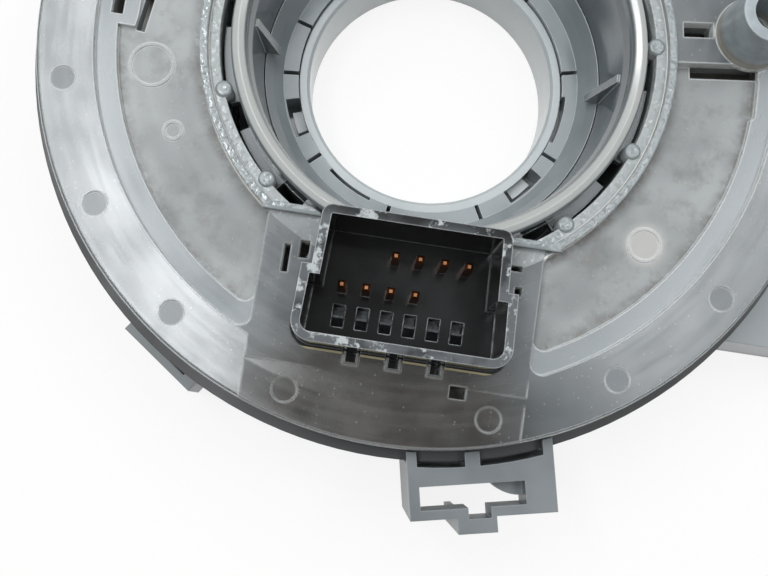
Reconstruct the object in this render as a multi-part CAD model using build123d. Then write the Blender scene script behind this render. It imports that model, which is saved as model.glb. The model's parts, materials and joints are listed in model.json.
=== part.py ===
from build123d import *
import math
import os

# Steering clock spring: it joins the wiring of a turning steering wheel to the fixed steering column.
# Millimetres. The origin is on the axis of the bore, in the plane of the housing's back. +Z points to
# the steering wheel. The rotor is at its centre position, with the wheel connector on the -Y side.
# The stator is a floor with brackets and a round case. The rotor is a face plate, a hub, a bore sleeve
# and a retaining ring, and a flat cable is wound between them in the chamber.

# ---------------------------------------------------------------- driving dimensions
# Clearances
RUNNING_GAP = 0.3          # between faces of the stator and the rotor
SEAT_GAP = 0.1             # between a piece and the pocket it sits in

# Overall radius, which the face, the latches, the tower, the socket and the cable follow
CASE_R = 50.9              # outside of the case's wall

# Heights
FACE_Z = 25.0              # outer band of the rotor face above the housing's back
FLOOR_T = 2.0              # floor of the base housing
STEP_H = 0.8               # each of the two steps down into the pockets of the rotor face
PLATE_T = 2.0              # wall left under the deepest pocket

# Rotor face plate; an inset is measured inwards from its edge
PLATE_INSET = 0.3          # edge of the face inside the case's wall
BAND_FALL = 0.5            # the outer band falls this much towards its edge
EDGE_W = 0.4               # rounded edge
SKIRT_FLARE = 0.1          # the skirt is this much wider at its foot
SKIRT_T = 1.6
SKIRT_H = 4.3              # face to the foot of the skirt
BAND_W = 7.3               # outer band
TERRACE_W = 2.7            # terrace one step down inside it
RIB_R = 29.5               # middle of the thin rib round the hub
RIB_W = 1.0
RIB_H = 0.95
COLLAR_IN_R = 27.6         # inner edge of the collar that carries the snap lugs
DRUM_T = 1.8               # wall of the inner drum under the collar
LAND_LEFT = 17.8           # the land that carries the connector, measured from the Y axis
LAND_RIGHT = 16.6
LAND_TOP = 23.6            # near edge of that land, measured from the X axis
LAND_STEP_INSET = 8.3      # outside this line the land lies a little lower
LAND_STEP_H = 0.2
POCKET_CORNER_R = 1.4
EJECTOR_R = 1.55           # round marks on the outer band
EJECTOR_INSET = 3.4
EJECTOR_DEPTH = 0.15
EJECTOR_FIRST = 15.3       # degrees from the connector's axis
EJECTOR_PITCH = 20.2
LUG_R = 1.1                # snap lugs over the hub's collar
LUG_H = 2.7
LUG_RISE = 0.3             # above the face
LUG_ANGLES = (42.5, 69.0, 98.5, 127.0, 155.0)   # each side of the connector's axis
STIFFENER_T = 1.2          # ribs under the plate
STIFFENER_COUNT = 8

# Drive post and the pad it stands on
POST_INSET = 11.4
POST_Y = 7.7
POST_R = 4.75
POST_TOP_R = 3.85
POST_BORE_R = 2.5
POST_H = 7.5
POST_BORE_DEPTH = 8.0
PAD_LOW_Y = 2.5            # corner of the pad nearest the connector
PAD_TURN = 7.0             # degrees; the pad and its openings are turned by this
PAD_W = 13.0
PAD_SLOT_START = 2.2       # moulding slot along the pad's edge, from its corner
PAD_SLOT_H = 1.5
PAD_SLOT_L = 8.5
WINDOW_START = (1.0, 3.4)  # window in the pad, from the same corner
WINDOW_L = 3.8
WINDOW_W = 1.9
NOTCH_INSET = 10.4         # oval notch at the end of the terrace
NOTCH_W = 1.5
NOTCH_LOW_Y = -3.3

# Smaller bridge on the other side of the face
BRIDGE_INSET = 12.5        # its inner edge
BRIDGE_LOW_Y = -3.3
BRIDGE_SLOT_GAP = 2.0      # its slot, outside that edge
BRIDGE_SLOT_W = 1.5
BRIDGE_SLOT_LOW_Y = -2.0
CORE_SLOT_INSET = 13.25    # slanted moulding slot beside the bridge
CORE_SLOT_Y = -0.4
CORE_SLOT_W = 1.1
CORE_SLOT_L = 6.4
CORE_SLOT_TURN = -7.0      # degrees

# Round marks in the pockets
MARK_H = 0.12
GATE_MARK = (-35.5, -7.7, 2.9)       # x, y, radius
VENT_MARK = (29.1, -21.1, 2.2)
DATE_MARK = (-31.4, -15.7, 1.3)

# Hub
HUB_R = 26.0               # outside of the hub tube
HUB_IN_R = 23.6            # inside of the hub tube at the face
HUB_FOOT_IN_R = 23.0       # inside of the tube beside the retaining ring
CREST_H = 2.7              # rounded rim of the hub above the face
FLANGE_T = 1.4             # the hub's collar, under the snap lugs
COLLAR_OPENING_SPAN = 8.0  # degrees, openings through the collar
COLLAR_OPENING_TURN = 6.5  # from a lug to the middle of its opening
FIN_COUNT = 4              # the one behind the connector is cut away
FIN_T = 1.0
FIN_W = 2.0

# Bore sleeve
BORE_R = 17.0
SLEEVE_T = 1.4
SLEEVE_TOP = 9.6           # above the housing's back
SLEEVE_LIFT = 0.3          # the sleeve's flange stays this much above the back plane
SLEEVE_FLANGE_T = 1.2
SLEEVE_FLANGE_R = 30.5
SLEEVE_CHAMFER = 0.4

# Retaining ring with its snap fingers
RING_TOP = 13.5            # at the hub's wall
RING_LIP = 10.6            # at the sleeve
RING_FOOT = 6.0
RING_LEDGE_T = 1.5         # the hub's inner ledge under it
RING_LIP_R = 20.6          # where the slope meets the fingers
FINGER_COUNT = 10
FINGER_PITCH = 37.6        # degrees; the last finger is a short one
FINGER_FIRST = -175.0
FINGER_SLOT_W = 0.55
FINGER_SLOT_DEPTH = 3.2
WINDOW_ANGLES = (-156.0, -41.0, 79.0)     # openings over the sleeve's snap lugs
WINDOW_SPAN = 16.0
RELIEF_ANGLES = (-119.0, -8.0, 112.0)     # thin gaps beside the sleeve
RELIEF_SPAN = 21.0
RELIEF_W = 0.5
SLEEVE_LUG_SPAN = 9.0
SLEEVE_LUG_H = 1.8

# Wheel connector
CONN_RIM_H = 7.0           # mouth above the face
CONN_DEPTH = 11.0          # mouth to the floor of the socket
CONN_NEAR_Y = 23.6         # its wall nearest the hub, measured from the X axis
CONN_STEP_Y = 30.9         # where both sides step out
CONN_FAR_Y = 39.8
CONN_NEAR_HALF_W = 11.2
CONN_FAR_HALF_W = 13.0
CONN_DRAFT = 0.3           # each half of the sides leans out by this much
CONN_X = 0.4               # the housing stands a little to +X of its pins
CONN_WALL = 1.1
CONN_NEAR_CORNER_R = 1.3
CONN_FAR_CORNER_R = 2.4
CONN_COLLAR_W = 0.55       # collar where the walls meet the land
CONN_COLLAR_H = 0.6
CONN_FLANGE_W = 1.4        # hidden flange under the plate
CONN_FOOT_T = 2.2          # flange and foot below the plate
PIN_W = 1.0                # square contact pins
PIN_PITCH = 3.0
PIN_ROW_NEAR_Y = 27.6
PIN_ROW_FAR_Y = 32.0
PIN_TIP_H = 1.2            # tip above the face
PIN_TAIL = 1.2             # below the foot
PIN_POINT = 0.3
PIN_STEM_L = 1.6
SLOT_ROW_Y = 35.4          # slots of the shorting clips
SLOT_W = 1.5
SLOT_L = 2.8
SLOT_DEPTH = 2.6
CLIP_RISE = 0.5            # bow of a shorting clip above the socket's floor
CLIP_T = 0.3
CLIP_BRIDGE_W = 1.4
# Slots in the land for the housing's snap hooks: low x, high x, low y, high y
SNAP_SLOTS = (
    (-15.2, -14.4, -31.4, -27.9),
    (-13.3, -12.1, -29.4, -27.2),
    (12.6, 14.1, -27.1, -26.4),
    (13.5, 14.4, -30.1, -29.0),
    (7.3, 9.3, -43.6, -42.1),
)
LOOP_PLACES = (-5.1, 0.1, 5.2)       # small loops in front of the housing
LOOP_W = 1.9
LOOP_L = 1.6
LOOP_T = 0.35
LOOP_H = 0.3

# Case ring
CASE_T = 1.7
CASE_FLANGE_W = 1.1        # the flange stands out from the wall by this
CASE_FLANGE_T = 1.2
CASE_DROP = 5.2            # face to the top of the flange
LATCH_ANGLES = (-125.5, 10.0, 130.0)
LATCH_W = 12.2
LATCH_REACH = 3.0          # case to the outer face of the latch loops
LATCH_T = 1.1
LATCH_POST_W = 2.0
LATCH_H = 9.0
LATCH_WINDOW_W = 8.2
LATCH_WINDOW_H = 3.6
LATCH_WINDOW_Z = 3.4

# Mounting tower with its T-shaped slot, in its own axes: t across, n outward from the case's wall
TOWER_ANGLE = 12.0         # degrees from the -Y axis towards +X
TOWER_DROP = 3.5           # face to the front of the tower
TOWER_T_LOW = -7.3
TOWER_T_HIGH = 10.9
TOWER_REACH = 7.95
TOWER_BAR_GAP = 1.8        # near side of the cross bar, which follows the case
TOWER_RIB_GAP = 0.2        # ribs to the skirt and to the case's flange
TOWER_WEB_Z = 11.0         # web that closes the pockets between the ribs
TOWER_FRAME_T = 6.2        # depth of the slotted frame
TOWER_WALL = 1.25
TOWER_DIVIDER = (-0.1, 1.75)
SLOT_T = (-5.95, 7.1)
SLOT_GAP = 3.9             # near and far side of the slot
SLOT_REACH = 6.75
STEM_T = (-0.1, 2.7)
STEM_REACH = 8.1
TAIL_T = (-1.5, 3.35)
TAIL_REACH = 9.9
TONGUE_T = 3.1             # snap tongue in the slot's high corner: its start
TONGUE_SHOULDER = 0.95     # its edge climbs steeply to here, then flattens
TONGUE_W = 1.9
TONGUE_DROP = 2.6

# Column connector on the stator
SOCKET_REACH = 13.1        # case to the mouth
SOCKET_SEAT = 8.4          # the floor carries the socket up to this far behind its mouth
SOCKET_Y_LOW = -30.0
SOCKET_Y_HIGH = -9.0
SOCKET_H = 9.2
SOCKET_WALL = 1.3
SOCKET_DEPTH = 10.6
COLUMN_PIN_L = 7.5         # of which a third is in the socket's floor
COLUMN_PIN_W = 0.8
COLUMN_PIN_PITCH = 2.2
COLUMN_PIN_COUNT = 8

# Flat cable in the chamber
CABLE_T = 0.35
CABLE_W = 14.4
CABLE_INSET = 4.2          # drum to the first turn, and last turn to the case
CABLE_OUTSET = 2.8
CABLE_HALF_TURNS = 11
SHEET_T = 0.25
BLOCK_GAP = 0.35           # between a lead block and the nearest turn
BLOCK_SPAN = 16.0          # degrees
OUTER_BLOCK_ANGLE = -22.0

# ---------------------------------------------------------------- derived sizes
plate_r = CASE_R - PLATE_INSET
band_in_r = plate_r - BAND_W
terrace_in_r = band_in_r - TERRACE_W
ejector_ring_r = plate_r - EJECTOR_INSET
land_step_y = plate_r - LAND_STEP_INSET
post_x = plate_r - POST_INSET
notch_x = plate_r - NOTCH_INSET
bridge_x = plate_r - BRIDGE_INSET
core_slot_x = plate_r - CORE_SLOT_INSET
socket_x = CASE_R + SOCKET_REACH
tower_n = CASE_R + TOWER_REACH
bar_r = CASE_R + TOWER_BAR_GAP
slot_near_n = CASE_R + SLOT_GAP
slot_far_n = CASE_R + SLOT_REACH
stem_n = CASE_R + STEM_REACH
tail_n = CASE_R + TAIL_REACH
plate_under_z = FACE_Z - 2 * STEP_H - PLATE_T
band_under_z = FACE_Z - PLATE_T
skirt_foot_z = FACE_Z - SKIRT_H
drum_r = COLLAR_IN_R + DRUM_T
skirt_r = plate_r + SKIRT_FLARE
case_flange_r = CASE_R + CASE_FLANGE_W
latch_out = CASE_R + LATCH_REACH
cable_first_r = drum_r + CABLE_INSET
cable_last_r = CASE_R - CASE_T - CABLE_OUTSET
rib_in_r = RIB_R - RIB_W / 2
rib_out_r = RIB_R + RIB_W / 2
pad_place = Pos(rib_out_r, PAD_LOW_Y, 0) * Rot(0, 0, PAD_TURN)
sleeve_r = BORE_R + SLEEVE_T
sleeve_flange_top = SLEEVE_LIFT + SLEEVE_FLANGE_T
inner_floor_z = sleeve_flange_top + RUNNING_GAP
inner_floor_top = inner_floor_z + SLEEVE_FLANGE_T
drum_foot_z = inner_floor_top + RUNNING_GAP
hub_flange_top = FACE_Z - (LUG_H - LUG_RISE) - SEAT_GAP
conn_floor_z = FACE_Z + CONN_RIM_H - CONN_DEPTH
conn_foot_z = plate_under_z - CONN_FOOT_T
case_top_z = FACE_Z - CASE_DROP
tower_top_z = FACE_Z - TOWER_DROP
cable_low_z = FLOOR_T + SHEET_T + SEAT_GAP
cable_top_z = cable_low_z + CABLE_W
upper_sheet_z = cable_top_z + SEAT_GAP
column_floor_x = socket_x - SOCKET_DEPTH
sheet_in_r = SLEEVE_FLANGE_R + RUNNING_GAP + FLOOR_T + SEAT_GAP


# ---------------------------------------------------------------- helpers
def turned(*outline):
    """Solid of revolution about Z from a closed outline of (radius, height) points."""
    return revolve(Plane.XZ * make_face(Polyline(*outline, close=True)), Axis.Z)


def washer(outer_r, inner_r, low_z, thickness):
    """Flat ring standing on low_z."""
    return Pos(0, 0, low_z) * extrude(Circle(outer_r) - Circle(inner_r), thickness)


def slab(x, y, z):
    """Block between the two limits given for each axis."""
    return Pos(x[0], y[0], z[0]) * Box(x[1] - x[0], y[1] - y[0], z[1] - z[0], align=(Align.MIN,) * 3)


def wedge(outer_r, span):
    """Flat pie slice about the +X direction, which cuts ring pieces to an angle."""
    half = math.radians(span / 2)
    reach = outer_r / math.cos(half)
    tip = (reach * math.cos(half), reach * math.sin(half))
    return make_face(Polyline((0, 0), (tip[0], -tip[1]), tip, close=True))


def ring_piece(outer_r, inner_r, span, angle, low_z, thickness):
    """Part of a flat ring, its middle at the given angle."""
    piece = (Circle(outer_r) - Circle(inner_r)) & wedge(outer_r * 1.2, span)
    return Rot(0, 0, angle) * Pos(0, 0, low_z) * extrude(piece, thickness)


def both_sides(angles):
    """Angles from the connector's axis turned into angles from +X, on both sides of it."""
    return [-90 + side * angle for angle in angles for side in (-1, 1)]


# ---------------------------------------------------------------- wheel connector
def connector_outline(grow):
    """Outline of the connector seen from the wheel: both sides step out half way down."""
    top = -CONN_NEAR_Y + grow
    step = -CONN_STEP_Y + grow
    foot = -CONN_FAR_Y - grow
    near = CONN_NEAR_HALF_W + grow
    shoulder = near + CONN_DRAFT
    far = CONN_FAR_HALF_W + grow
    outline = make_face(Polyline(
        (-near, top), (near, top), (shoulder, step), (far - CONN_DRAFT, step),
        (far, foot), (-far, foot), (CONN_DRAFT - far, step), (-shoulder, step), close=True))
    upper = [v for v in outline.vertices() if v.Y > top - 0.01]
    outline = fillet(upper, max(CONN_NEAR_CORNER_R + grow, 0.2))
    lower = [v for v in outline.vertices() if v.Y < foot + 0.01]
    return Pos(CONN_X, 0) * fillet(lower, max(CONN_FAR_CORNER_R + grow, 0.2))


def pin_places():
    """Places of the eight pins: four at the far row's -X end and four at the near row's +X end."""
    first = -2.5 * PIN_PITCH
    far = [(first + n * PIN_PITCH, -PIN_ROW_FAR_Y) for n in range(4)]
    near = [(first + (n + 2) * PIN_PITCH, -PIN_ROW_NEAR_Y) for n in range(4)]
    return far + near


def slot_places():
    """Middles of the six slots for the shorting clips."""
    return [((n - 2.5) * PIN_PITCH, -SLOT_ROW_Y) for n in range(6)]


def wheel_connector():
    """Moulded housing, open towards the wheel, with a flange that seats under the face plate."""
    rim_z = FACE_Z + CONN_RIM_H
    body = Pos(0, 0, conn_foot_z) * extrude(connector_outline(0), rim_z - conn_foot_z)
    flange_top = plate_under_z - SEAT_GAP
    flange = Pos(0, 0, conn_foot_z) * extrude(connector_outline(CONN_FLANGE_W), flange_top - conn_foot_z)
    hub_side = slab((-plate_r, plate_r), (-CONN_NEAR_Y, 0), (0, FACE_Z))
    body += flange - hub_side
    collar = Pos(0, 0, FACE_Z + 0.02) * extrude(connector_outline(CONN_COLLAR_W), CONN_COLLAR_H)
    for x in LOOP_PLACES:
        collar -= slab((x - LOOP_W / 2 - SEAT_GAP, x + LOOP_W / 2 + SEAT_GAP), (-plate_r, -CONN_FAR_Y),
                       (0, 2 * FACE_Z))
    body += collar - slab((-plate_r, plate_r), (-CONN_STEP_Y, 0), (0, 2 * FACE_Z))
    body -= Pos(0, 0, conn_floor_z) * extrude(connector_outline(-CONN_WALL), CONN_DEPTH)
    for x, y in pin_places():
        body -= Pos(x, y, (conn_floor_z + conn_foot_z) / 2) * Box(PIN_W, PIN_W, 3 * CONN_DEPTH)
    for x, y in slot_places():
        body -= Pos(x, y, conn_floor_z) * Box(SLOT_W, SLOT_L, 2 * SLOT_DEPTH)
    # Tunnels between neighbouring slots, which take the bridge of a shorting clip
    for n in range(0, 6, 2):
        (x0, y), (x1, _) = slot_places()[n:n + 2]
        bottom = conn_floor_z - SLOT_DEPTH
        body -= slab((x0, x1), (y - CLIP_BRIDGE_W / 2 - SEAT_GAP, y + CLIP_BRIDGE_W / 2 + SEAT_GAP),
                     (bottom, bottom + CLIP_T + SEAT_GAP))
    return body


def contact_pin(x, y):
    """Square pin with a pointed tip, pressed through the connector's floor."""
    low = conn_foot_z - PIN_TAIL
    tip = FACE_Z + PIN_TIP_H
    shaft = Pos(x, y, low) * Box(PIN_W, PIN_W, tip - low, align=(Align.CENTER, Align.CENTER, Align.MIN))
    return chamfer(shaft.faces().sort_by(Axis.Z)[-1].edges(), PIN_POINT)


def shorting_clip(first_slot):
    """Sprung metal strip in two neighbouring slots, which bridges the circuits while unplugged."""
    (x0, y), (x1, _) = slot_places()[first_slot:first_slot + 2]
    bottom = conn_floor_z - SLOT_DEPTH
    arm_w = SLOT_W - 2 * SEAT_GAP
    clip = None
    for x in (x0, x1):
        side = SLOT_L / 2 - SEAT_GAP
        leaf = make_face(Polyline(
            (y - side, bottom), (y + side, bottom), (y + side, bottom + CLIP_T),
            (y - side + CLIP_T, bottom + CLIP_T), (y - side + CLIP_T, bottom + SLOT_DEPTH),
            (y, conn_floor_z + CLIP_RISE), (y - CLIP_T, conn_floor_z + CLIP_RISE),
            (y - side, bottom + SLOT_DEPTH), close=True))
        arm = extrude(Plane.YZ.offset(x - arm_w / 2) * leaf, arm_w)
        clip = arm if clip is None else clip + arm
    return clip + slab((x0, x1), (y - CLIP_BRIDGE_W / 2, y + CLIP_BRIDGE_W / 2), (bottom, bottom + CLIP_T))


# ---------------------------------------------------------------- rotor face plate
def land():
    """Outline of the raised land round the connector, from the rib to the outer band."""
    return make_face(Polyline(
        (-LAND_LEFT, -LAND_TOP), (LAND_RIGHT + 1.1, -LAND_TOP), (LAND_RIGHT, -LAND_TOP - 1.9),
        (LAND_RIGHT, -plate_r), (-LAND_LEFT, -plate_r), close=True))


def post_pad():
    """Outline of the raised pad under the drive post, from the rib to the outer band."""
    outer = band_in_r - rib_out_r + PAD_TURN / 2
    return pad_place * make_face(Polyline(
        (-3, 0), (outer, 0), (outer, PAD_W), (-3, PAD_W), close=True))


def bridge_pad():
    """Outline of the smaller bridge opposite the post, level with the terrace."""
    outer = -terrace_in_r - 2
    return make_face(Polyline(
        (-bridge_x, BRIDGE_LOW_Y), (-bridge_x, PAD_W), (outer, PAD_W), (outer, BRIDGE_LOW_Y), close=True))


def pocket(outer_r):
    """Outline of the sunk areas of the face inside outer_r, with rounded corners."""
    area = Circle(outer_r) - Circle(rib_out_r) - land() - post_pad()
    corners = [v for v in area.vertices() if abs(math.hypot(v.X, v.Y) - outer_r) < 0.01]
    return fillet(corners, POCKET_CORNER_R)


def face_rib():
    """Thin rib round the hub. At the land it turns and runs straight to the connector."""
    ring = Circle(rib_out_r) - Circle(rib_in_r)
    ring -= Pos(0, -LAND_TOP - plate_r / 2) * Rectangle(2 * plate_r, plate_r)
    bar_l = math.sqrt(rib_out_r ** 2 - LAND_TOP ** 2) - CONN_NEAR_HALF_W - SEAT_GAP
    for side in (-1, 1):
        middle = side * (CONN_NEAR_HALF_W + SEAT_GAP + bar_l / 2)
        ring += Pos(middle, -LAND_TOP) * Rectangle(bar_l, RIB_W)
    return ring - Circle(HUB_R + RUNNING_GAP)


def rotor_plate():
    """Face plate of the rotor: outer band, two steps down into the pockets, rib, collar and drum."""
    plate = turned(
        (COLLAR_IN_R, drum_foot_z), (drum_r, drum_foot_z), (drum_r, plate_under_z),
        (band_in_r + PLATE_T, plate_under_z), (band_in_r + PLATE_T, band_under_z - BAND_FALL),
        (skirt_r - SKIRT_T, band_under_z - BAND_FALL), (skirt_r - SKIRT_T, skirt_foot_z),
        (skirt_r, skirt_foot_z), (plate_r, FACE_Z - BAND_FALL - EDGE_W),
        (plate_r - 0.3 * EDGE_W, FACE_Z - BAND_FALL - 0.3 * EDGE_W),
        (plate_r - EDGE_W, FACE_Z - BAND_FALL), (band_in_r, FACE_Z), (COLLAR_IN_R, FACE_Z))

    # The land stays level where the outer band falls away
    flat = land() & Circle(plate_r - 0.7 * EDGE_W)
    outer = Pos(0, -land_step_y - plate_r / 2) * Rectangle(2 * plate_r, plate_r)
    plate += Pos(0, 0, FACE_Z - 2 * BAND_FALL) * extrude(flat - outer, 2 * BAND_FALL)
    plate += Pos(0, 0, FACE_Z - 2 * BAND_FALL) * extrude(flat & outer, 2 * BAND_FALL - LAND_STEP_H)
    plate -= Pos(0, 0, FACE_Z - STEP_H) * extrude(pocket(band_in_r), 2 * STEP_H)
    plate -= Pos(0, 0, FACE_Z - 2 * STEP_H) * extrude(pocket(terrace_in_r) - bridge_pad(), 2 * STEP_H)
    plate += Pos(0, 0, FACE_Z - STEP_H) * extrude(face_rib(), STEP_H + RIB_H)

    # Round marks of the mould's ejector pins on the outer band
    marks = [EJECTOR_FIRST + n * EJECTOR_PITCH for n in range(9)]
    fall = BAND_FALL * (ejector_ring_r - band_in_r) / (plate_r - band_in_r)
    mark = Pos(ejector_ring_r, 0, FACE_Z - fall - EJECTOR_DEPTH) * Cylinder(
        EJECTOR_R, 1, align=(Align.CENTER, Align.CENTER, Align.MIN))
    for angle in both_sides(marks):
        plate -= Rot(0, 0, angle) * mark

    # Marks of the gate, the vent and the date insert, a little proud of the pockets
    for x, y, r in (GATE_MARK, VENT_MARK, DATE_MARK):
        ring = Circle(r) - Circle(r - 3 * MARK_H)
        plate += Pos(x, y, FACE_Z - 2 * STEP_H) * extrude(ring, MARK_H)

    # Snap lugs that reach in over the hub's collar
    lug = Pos(COLLAR_IN_R, 0, FACE_Z + LUG_RISE - LUG_H) * Cylinder(
        LUG_R, LUG_H, align=(Align.CENTER, Align.CENTER, Align.MIN))
    lug = fillet(lug.edges().sort_by(Axis.Z)[-1], 0.4)
    for angle in both_sides(LUG_ANGLES):
        plate += Rot(0, 0, angle) * lug

    # Drive post, hollow, on its pad, with the window and the moulding slot beside it
    cut_z = (plate_under_z - 1, FACE_Z + 1)
    slot_x = (PAD_SLOT_START, PAD_SLOT_START + PAD_SLOT_L)
    plate -= pad_place * slab(slot_x, (-PAD_SLOT_H, 0), cut_z)
    window_x = (WINDOW_START[0], WINDOW_START[0] + WINDOW_L)
    window_y = (WINDOW_START[1], WINDOW_START[1] + WINDOW_W)
    plate -= pad_place * slab(window_x, window_y, cut_z)
    plate += Pos(post_x, POST_Y, FACE_Z - STEP_H) * Cone(
        POST_R, POST_TOP_R, POST_H + STEP_H, align=(Align.CENTER, Align.CENTER, Align.MIN))
    plate -= Pos(post_x, POST_Y, FACE_Z + POST_H) * Cylinder(
        POST_BORE_R, 2 * POST_BORE_DEPTH, align=(Align.CENTER, Align.CENTER, Align.CENTER))
    notch = SlotOverall(PAD_LOW_Y - NOTCH_LOW_Y, NOTCH_W, 90)
    plate -= Pos(notch_x, (PAD_LOW_Y + NOTCH_LOW_Y) / 2, FACE_Z - 2 * STEP_H) * extrude(notch, 3 * STEP_H)

    # Smaller bridge on the other side, with its slot and the slanted core slot
    bridge_slot_x = -bridge_x - BRIDGE_SLOT_GAP
    plate -= slab((bridge_slot_x - BRIDGE_SLOT_W, bridge_slot_x), (BRIDGE_SLOT_LOW_Y, PAD_LOW_Y), cut_z)
    core = Rot(0, 0, CORE_SLOT_TURN) * Box(CORE_SLOT_W, CORE_SLOT_L, 3 * PLATE_T)
    plate -= Pos(-core_slot_x, CORE_SLOT_Y, FACE_Z - STEP_H) * core

    # Slots of the connector's snap hooks
    for x_low, x_high, y_low, y_high in SNAP_SLOTS:
        plate -= slab((x_low, x_high), (y_low, y_high), cut_z)

    # Small loops in front of the housing, each round a through hole
    near = CONN_FAR_Y + SEAT_GAP
    hole_w = LOOP_W - 2 * LOOP_T
    for x in LOOP_PLACES:
        plate += slab((x - LOOP_W / 2, x + LOOP_W / 2), (-near - LOOP_L, -near), (FACE_Z - 1, FACE_Z + LOOP_H))
        plate -= slab((x - hole_w / 2, x + hole_w / 2), (-near - LOOP_L + LOOP_T, -near + 1), cut_z)

    # Stiffening ribs underneath, which also hold the upper slip sheet down
    for n in range(STIFFENER_COUNT):
        rib = slab((drum_r - 0.5, band_in_r + PLATE_T - 0.4), (-STIFFENER_T / 2, STIFFENER_T / 2),
                   (upper_sheet_z + SHEET_T, plate_under_z + 0.5))
        plate += Rot(0, 0, 22.5 + n * 360 / STIFFENER_COUNT) * rib

    # Opening for the connector and room for its flange
    plate -= Pos(0, 0, upper_sheet_z) * extrude(connector_outline(SEAT_GAP), FACE_Z)
    return plate - wheel_connector_space()


def wheel_connector_space():
    """Room that the connector's flange takes under the plate."""
    low = conn_foot_z - SEAT_GAP
    return Pos(0, 0, low) * extrude(connector_outline(CONN_FLANGE_W + SEAT_GAP), plate_under_z - low)


# ---------------------------------------------------------------- hub, ring and sleeve
def rotor_hub():
    """Hub tube with its rounded rim, the collar under the snap lugs, inner fins and a ledge."""
    crest_z = FACE_Z + CREST_H
    hub = turned(
        (HUB_FOOT_IN_R, sleeve_flange_top), (HUB_R, sleeve_flange_top),
        (HUB_R, crest_z - 1.0), (HUB_R - 0.3, crest_z - 0.3),
        (HUB_R - 1.0, crest_z), (HUB_R - 1.7, crest_z - 0.3),
        (HUB_R - 2.0, crest_z - 1.0), (HUB_R - 2.0, FACE_Z + 0.4), (HUB_IN_R, FACE_Z - 1.0),
        (HUB_FOOT_IN_R, RING_TOP))
    hub += washer(HUB_FOOT_IN_R + 0.5, sleeve_r + SEAT_GAP, RING_FOOT - RING_LEDGE_T, RING_LEDGE_T)

    # Collar with openings beside each snap lug, left by the mould cores
    collar = Circle(COLLAR_IN_R - RUNNING_GAP) - Circle(HUB_R - 1)
    opening = wedge(2 * HUB_R, COLLAR_OPENING_SPAN) - Circle(HUB_R + 0.05)
    for angle in both_sides(LUG_ANGLES):
        towards = 1 if angle < -90 else -1
        collar -= Rot(0, 0, angle + towards * COLLAR_OPENING_TURN) * opening
    hub += Pos(0, 0, hub_flange_top - FLANGE_T) * extrude(collar, FLANGE_T)

    # Fins down the inside, from the rim to the retaining ring
    fin_top = FACE_Z - 2.0
    fin = make_face(Polyline(
        (HUB_IN_R + 0.3, fin_top), (HUB_FOOT_IN_R + 0.3, RING_TOP + SEAT_GAP),
        (HUB_FOOT_IN_R - FIN_W, RING_TOP + SEAT_GAP), (HUB_IN_R - 0.4, fin_top), close=True))
    fin = Pos(0, FIN_T / 2, 0) * extrude(Plane.XZ * fin, FIN_T)
    for n in range(FIN_COUNT):
        hub += Rot(0, 0, n * 360 / FIN_COUNT) * fin

    # The side of the hub that the connector stands against is cut flat
    half = CONN_FAR_HALF_W + CONN_FLANGE_W + SEAT_GAP
    hub -= slab((-half, half), (-HUB_R - 5, -CONN_NEAR_Y + SEAT_GAP),
                (conn_foot_z - PIN_TAIL - SEAT_GAP, FACE_Z + 2 * CREST_H))
    return hub


def retaining_ring():
    """Ring of snap fingers round the sleeve: it holds the hub down on the sleeve's flange."""
    inner = sleeve_r + SEAT_GAP
    outer = HUB_FOOT_IN_R - SEAT_GAP
    ring = turned(
        (inner, RING_FOOT), (outer, RING_FOOT), (outer, RING_TOP),
        (RING_LIP_R + 1.2, RING_LIP + 1.3), (RING_LIP_R, RING_LIP), (inner, RING_LIP))
    slot = slab((inner - 1, RING_LIP_R), (-FINGER_SLOT_W / 2, FINGER_SLOT_W / 2),
                (RING_LIP - FINGER_SLOT_DEPTH, RING_TOP))
    for n in range(FINGER_COUNT):
        ring -= Rot(0, 0, FINGER_FIRST + n * FINGER_PITCH) * slot
    for angle in WINDOW_ANGLES:
        ring -= ring_piece(RING_LIP_R - 0.2, inner - 1, WINDOW_SPAN, angle, RING_FOOT - 1, RING_TOP)
    for angle in RELIEF_ANGLES:
        ring -= ring_piece(inner + RELIEF_W, inner - 1, RELIEF_SPAN, angle, RING_LIP - FINGER_SLOT_DEPTH, RING_TOP)
    return ring


def bore_sleeve():
    """Inner sleeve round the steering shaft, with the flange that turns under the stator's floor."""
    sleeve = turned(
        (BORE_R, 0), (sleeve_r, 0), (sleeve_r, SLEEVE_LIFT),
        (SLEEVE_FLANGE_R, SLEEVE_LIFT), (SLEEVE_FLANGE_R, sleeve_flange_top),
        (sleeve_r, sleeve_flange_top), (sleeve_r, SLEEVE_TOP), (BORE_R + SLEEVE_CHAMFER, SLEEVE_TOP),
        (BORE_R, SLEEVE_TOP - SLEEVE_CHAMFER))
    for angle in WINDOW_ANGLES:
        sleeve += ring_piece(RING_LIP_R - 0.8, sleeve_r - 0.5, SLEEVE_LUG_SPAN, angle, RING_FOOT, SLEEVE_LUG_H)
    return sleeve


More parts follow.
